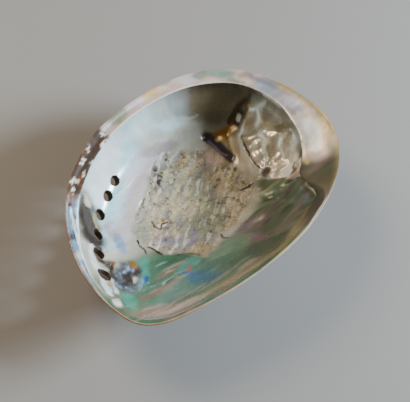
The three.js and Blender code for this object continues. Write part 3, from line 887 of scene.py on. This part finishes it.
def paint_shell(s):
    """The colour and the gloss of every point."""
    paint = Paint(s)
    x, y, degrees, hollow = s.x, s.y, s.degrees, s.hollow
    on_wall = smoothstep(s.from_hub, 26, 36)
    right = hollow * sector(degrees, *RIGHT_SPAN) * on_wall
    lower = hollow * sector(degrees, *LOWER_SPAN) * on_wall
    lump = hollow * patch(paint.x, paint.y, LUMP_PAINT, 12, 8, 30)
    ragged = degrees + 4 * fractal(x, y, 8, 315)
    shelf_end = smoothstep(s.over, *END_SPAN) * (1 - s.outside) * sector(ragged, *SHELF_END_SPAN)
    crust = s.top * sector(degrees + 3 * fractal(x, y, 5, 331), *CRUST_SPAN)

    paint_walls(paint, s, right, lower)
    paint_scar(paint, s)
    paint_spire(paint, s)
    paint_marks(paint, s, lump)
    paint_shelf(paint, s, shelf_end)
    paint_lip(paint, s)
    paint_left_rim(paint, s, crust)
    paint_outside(paint, s)
    pearl = 1 + 0.16 * streaks(x, y, 9, 2.6, 401) + 0.14 * fractal(x, y, 6, 411)
    colour = paint.colour * lerp(1, pearl, 1 - s.outside)[..., None]

    gloss = hollow * (1 - SCAR_DULLS * s.scar) + s.top * (1 - crust)
    gloss = gloss * (1 - RIGHT_DULLS * right) * (1 - SHELF_END_DULLS * shelf_end)
    gloss = gloss * (1 - EYE_DULLS * (1 - smoothstep(s.from_eye, 2, 3.4)))
    return colour, np.clip(gloss * (1 - LUMP_DULLS * lump), 0, 1)


def mesh_of(surface, colour, gloss):
    rows, around = surface.points.shape[:2]
    keep = [0] + list(range(around, (rows - 1) * around)) + [(rows - 1) * around]
    points = surface.points.reshape(-1, 3)[keep]
    faces = []
    last = len(points) - 1

    def at(k, s):
        return 1 + (k - 1) * around + s % around
    for s in range(around):
        faces.append((0, at(1, s), at(1, s + 1)))
        for k in range(1, rows - 2):
            faces.append((at(k, s), at(k + 1, s), at(k + 1, s + 1), at(k, s + 1)))
        faces.append((at(rows - 2, s), last, at(rows - 2, s + 1)))
    mesh = bpy.data.meshes.new("shell_look")
    mesh.from_pydata([tuple(v * MM) for v in points], [], faces)
    tint = mesh.attributes.new("tint", "FLOAT_COLOR", "POINT")
    rgba = np.ones((len(points), 4))
    rgba[:, :3] = colour.reshape(-1, 3)[keep]
    tint.data.foreach_set("color", rgba.ravel())
    masks = (("gloss", gloss), ("outside", surface.outside), ("scar", surface.scar),
             ("cave", surface.cave))
    for name, values in masks:
        layer = mesh.attributes.new(name, "FLOAT", "POINT")
        layer.data.foreach_set("value", values.reshape(-1)[keep])
    mesh.validate()
    mesh.polygons.foreach_set("use_smooth", [True] * len(mesh.polygons))
    return mesh


def hole_axis(degrees, height):
    """A point of a hole's axis and the axis's direction, towards the mouth of the shell."""
    angle = np.radians(degrees)
    place = COIL + keel_radius(angle) * np.array([np.cos(angle), np.sin(angle)])
    outwards = (place - HUB) / np.hypot(*(place - HUB))
    lean = np.array([-outwards[0] * HOLE_LEAN, -outwards[1] * HOLE_LEAN, 1.0])
    return np.append(place, height), lean / np.linalg.norm(lean)


def paint_shade_in_holes(mesh):
    """Paints the walls of the holes dark and dull; the dark is painted shade."""
    points = np.empty(len(mesh.vertices) * 3)
    mesh.vertices.foreach_get("co", points)
    points = points.reshape(-1, 3) / MM
    tint, gloss = mesh.attributes["tint"], mesh.attributes["gloss"]
    # The hole walls get a dark brown that is painted shade.
    dark = tuple(linear(PALETTE["painted hole shade"])) + (1.0,)
    for degrees, diameter, height in HOLES:
        place, lean = hole_axis(degrees, height)
        off = points - place
        along = off @ lean
        radius = np.linalg.norm(off - along[:, None] * lean, axis=1)
        near = (radius < HOLE_PAINT_RADIUS * diameter) & (np.abs(along) < HOLE_PAINT_REACH)
        for i in np.nonzero(near)[0]:
            tint.data[i].color = dark
            gloss.data[i].value = HOLE_GLOSS


def hole_cutter():
    """One object of six rods, each leaning towards the mouth of the shell."""
    rods = []
    bpy.ops.object.select_all(action="DESELECT")
    for degrees, diameter, height in HOLES:
        place, lean = hole_axis(degrees, height)
        bpy.ops.mesh.primitive_cylinder_add(
            vertices=ROD_SIDES, radius=diameter / 2 * MM, depth=CUTTER_LENGTH * MM,
            location=tuple(place * MM), rotation=Vector(lean).to_track_quat("Z", "Y").to_euler())
        rods.append(bpy.context.object)
    for rod in rods:
        rod.select_set(True)
    bpy.context.view_layer.objects.active = rods[0]
    bpy.ops.object.join()
    return bpy.context.object


def make_shell():
    surface = Surface()
    surface.shape()
    shell = bpy.data.objects.new("shell_look", mesh_of(surface, *paint_shell(surface)))
    bpy.context.collection.objects.link(shell)
    cutter = hole_cutter()
    bpy.ops.object.select_all(action="DESELECT")
    shell.select_set(True)
    bpy.context.view_layer.objects.active = shell
    cut = shell.modifiers.new("holes", "BOOLEAN")
    cut.operation = "DIFFERENCE"
    cut.object = cutter
    cut.solver = "EXACT"
    bpy.ops.object.modifier_apply(modifier="holes")
    bpy.data.objects.remove(cutter, do_unlink=True)
    paint_shade_in_holes(shell.data)
    return shell


# --- material ---
class Nodes:
    """Short names for building one material's nodes."""

    def __init__(self, material):
        material.use_nodes = True
        self.tree = material.node_tree
        self.shader = self.tree.nodes["Principled BSDF"]

    def add(self, kind, **settings):
        node = self.tree.nodes.new(kind)
        for key, value in settings.items():
            setattr(node, key, value)
        return node

    def link(self, output, socket):
        self.tree.links.new(output, socket)

    def put(self, socket, value):
        if isinstance(value, (int, float, tuple)):
            socket.default_value = value
        else:
            self.link(value, socket)

    def maths(self, operation, first, second=0.0):
        node = self.add("ShaderNodeMath", operation=operation)
        self.put(node.inputs[0], first)
        self.put(node.inputs[1], second)
        return node.outputs[0]

    def plus(self, first, second):
        return self.maths("ADD", first, second)

    def minus(self, first, second):
        return self.maths("SUBTRACT", first, second)

    def times(self, first, second):
        return self.maths("MULTIPLY", first, second)

    def attribute(self, name, socket="Fac"):
        return self.add("ShaderNodeAttribute", attribute_name=name).outputs[socket]

    def noise(self, place, size, detail=3.0, roughness=0.55, distortion=0.0):
        """Noise from 0 to 1 with lumps of a size in millimetres."""
        node = self.add("ShaderNodeTexNoise")
        self.link(place, node.inputs["Vector"])
        node.inputs["Scale"].default_value = 1 / (size * MM)
        node.inputs["Detail"].default_value = detail
        node.inputs["Roughness"].default_value = roughness
        node.inputs["Distortion"].default_value = distortion
        return node.outputs["Fac"]

    def ramp(self, value, low, high):
        """0 below low, 1 above high."""
        node = self.add("ShaderNodeMapRange", interpolation_type="SMOOTHSTEP")
        self.put(node.inputs["Value"], value)
        node.inputs["From Min"].default_value = low
        node.inputs["From Max"].default_value = high
        return node.outputs["Result"]

    def mix(self, amount, first, second):
        node = self.add("ShaderNodeMix", data_type="RGBA", blend_type="MIX")
        self.put(node.inputs[0], amount)
        self.put(node.inputs[6], first)
        self.put(node.inputs[7], second)
        return node.outputs[2]


class NacreMaterial(Nodes):
    """Pearly where it glosses, chalky on the scar, ribbed and rough on the outside."""

    def __init__(self, material):
        super().__init__(material)
        self.place = self.add("ShaderNodeTexCoord").outputs["Object"]
        self.gloss = self.attribute("gloss")
        self.outside, self.scar = self.attribute("outside"), self.attribute("scar")
        self.cave = self.attribute("cave")
        drawn_out = self.add("ShaderNodeMapping")
        self.link(self.place, drawn_out.inputs["Vector"])
        drawn_out.inputs["Rotation"].default_value = (0, 0, STREAK_TURN)
        drawn_out.inputs["Scale"].default_value = STREAK_SCALE
        self.streak = self.noise(drawn_out.outputs["Vector"], 2.4, 4.0, 0.6, 0.4)
        self.cloud = self.noise(self.place, 7.0, 4.0, 0.55, 0.6)
        self.grain = self.noise(self.place, 1.2, 4.0, 0.65)
        pitted = self.ramp(self.noise(self.place, 1.7, 3.0, 0.7), 0.64, 0.72)
        self.pits = self.times(self.scar, pitted)
        self.wind_ribs()
        self.link(self.colour(), self.shader.inputs["Base Color"])
        self.finish()
        self.bumps()

    def wind_ribs(self):
        """Ribs that wind out along the coil on the back, and the growth lines across them."""
        spread = self.add("ShaderNodeSeparateXYZ")
        self.link(self.place, spread.inputs[0])
        across = self.minus(spread.outputs[0], float(COIL[0] * MM))
        up = self.minus(spread.outputs[1], float(COIL[1] * MM))
        angle = self.maths("ARCTAN2", up, across)
        squares = self.plus(self.times(across, across), self.times(up, up))
        growth = self.maths("LOGARITHM", self.maths("SQRT", squares), math.e)
        phase = self.minus(growth, self.times(angle, COIL_RATE))
        self.ribs = self.maths("SINE", self.times(phase, RIBS_AROUND / COIL_RATE))
        slanted = self.plus(growth, self.times(angle, LINE_SLANT))
        self.growth_lines = self.maths("SINE", self.times(slanted, LINES_AROUND))

    def colour(self):
        """The painted tint, varied a little in hue and strength, with dark pits and ribs."""
        hue = self.add("ShaderNodeHueSaturation")
        shift = self.times(self.minus(self.cloud, 0.5), HUE_SHIFT)
        self.link(self.plus(shift, 0.5), hue.inputs["Hue"])
        self.link(self.plus(self.times(self.streak, 0.6), 0.8), hue.inputs["Saturation"])
        rough_parts = self.plus(self.scar, self.outside)
        depth = self.plus(self.times(rough_parts, 1.1), 0.12)
        speckle = self.times(self.minus(self.grain, 0.5), depth)
        self.link(self.plus(speckle, 1.0), hue.inputs["Value"])
        self.link(self.attribute("tint", "Color"), hue.inputs["Color"])
        pitted = self.mix(self.times(self.pits, 0.75), hue.outputs["Color"], PIT_BLACK)
        rib_amount = self.ramp(self.times(self.outside, self.ribs), -0.5, 1.0)
        return self.mix(self.times(rib_amount, 0.3), pitted, RIB_BROWN)

    def finish(self):
        """Roughness, a little metal in the nacre, and a clear coat."""
        dull = self.times(self.minus(1.0, self.gloss), 0.4)
        rough = self.plus(dull, self.plus(self.times(self.grain, 0.12), 0.2))
        rough = self.minus(rough, self.times(self.scar, 0.12))
        self.link(rough, self.shader.inputs["Roughness"])
        metal = self.plus(self.times(self.gloss, 0.15), self.times(self.cave, 0.25))
        self.link(metal, self.shader.inputs["Metallic"])
        self.link(self.times(self.gloss, 0.5), self.shader.inputs["Coat Weight"])
        self.shader.inputs["Coat Roughness"].default_value = COAT_ROUGHNESS

    def bumps(self):
        """Fine relief: the scar's pits, the outside's ribs, the hollow's streaks."""
        height = self.times(self.scar, self.minus(self.noise(self.place, 1.4, 4.0, 0.7), self.pits))
        crust = self.plus(self.times(self.growth_lines, 0.06), self.grain)
        crust = self.plus(self.times(self.ribs, 0.3), crust)
        height = self.plus(height, self.times(self.outside, crust))
        inside = self.minus(1.0, self.outside)
        height = self.plus(height, self.times(inside, self.times(self.streak, 0.25)))
        height = self.plus(height, self.times(self.times(self.cave, self.cloud), 0.25))
        bump = self.add("ShaderNodeBump")
        bump.inputs["Distance"].default_value = BUMP_DEPTH * MM
        bump.inputs["Strength"].default_value = BUMP_STRENGTH
        self.link(height, bump.inputs["Height"])
        self.link(bump.outputs["Normal"], self.shader.inputs["Normal"])


def nacre_material():
    material = bpy.data.materials.new("nacre")
    NacreMaterial(material)
    return material


# --- the stage ---
def set_camera():
    elevation, azimuth = np.radians(CAMERA_ELEVATION), np.radians(CAMERA_AZIMUTH)
    sideways, forwards = np.sin(azimuth), -np.cos(azimuth)
    level = np.cos(elevation)
    back = Vector((sideways * level, forwards * level, np.sin(elevation)))
    data = bpy.data.cameras.new("camera")
    data.lens = CAMERA_LENS
    data.sensor_width = CAMERA_SENSOR
    camera = bpy.data.objects.new("camera", data)
    camera.location = Vector(CAMERA_TARGET) + back * CAMERA_DISTANCE
    camera.rotation_euler = (-back).to_track_quat("-Z", "Y").to_euler()
    bpy.context.collection.objects.link(camera)
    bpy.context.scene.camera = camera


def area_light(name, place, size, power, colour):
    data = bpy.data.lights.new(name, "AREA")
    data.shape = "DISK"
    data.size = size
    data.energy = power
    data.color = colour
    light = bpy.data.objects.new(name, data)
    light.location = place
    aim = Vector(LIGHT_AIM) - Vector(place)
    light.rotation_euler = aim.to_track_quat("-Z", "Y").to_euler()
    bpy.context.collection.objects.link(light)


def make_floor():
    bpy.ops.object.select_all(action="DESELECT")
    bpy.ops.mesh.primitive_plane_add(size=FLOOR_SIZE, location=(0, 0, 0))
    plane = bpy.context.object
    plane.name = "floor"
    grey = bpy.data.materials.new("floor")
    grey.use_nodes = True
    grey.node_tree.nodes["Principled BSDF"].inputs["Base Color"].default_value = FLOOR_GREY
    plane.data.materials.append(grey)
    return plane


def set_room_light():
    world = bpy.data.worlds.new("world")
    bpy.context.scene.world = world
    world.use_nodes = True
    world.node_tree.nodes["Background"].inputs[0].default_value = ROOM_COLOUR
    world.node_tree.nodes["Background"].inputs[1].default_value = ROOM_LIGHT


shell = make_shell()
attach(shell, "root")
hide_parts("shell")
shell.data.materials.clear()
shell.data.materials.append(nacre_material())

floor = make_floor()
set_camera()
area_light("cool", (0.62, -0.82, 0.52), 0.4, 34, (0.83, 0.93, 1.0))
area_light("warm", (0.1, 0.7, 0.9), 0.6, 8.0, (1.0, 0.8, 0.58))
set_room_light()
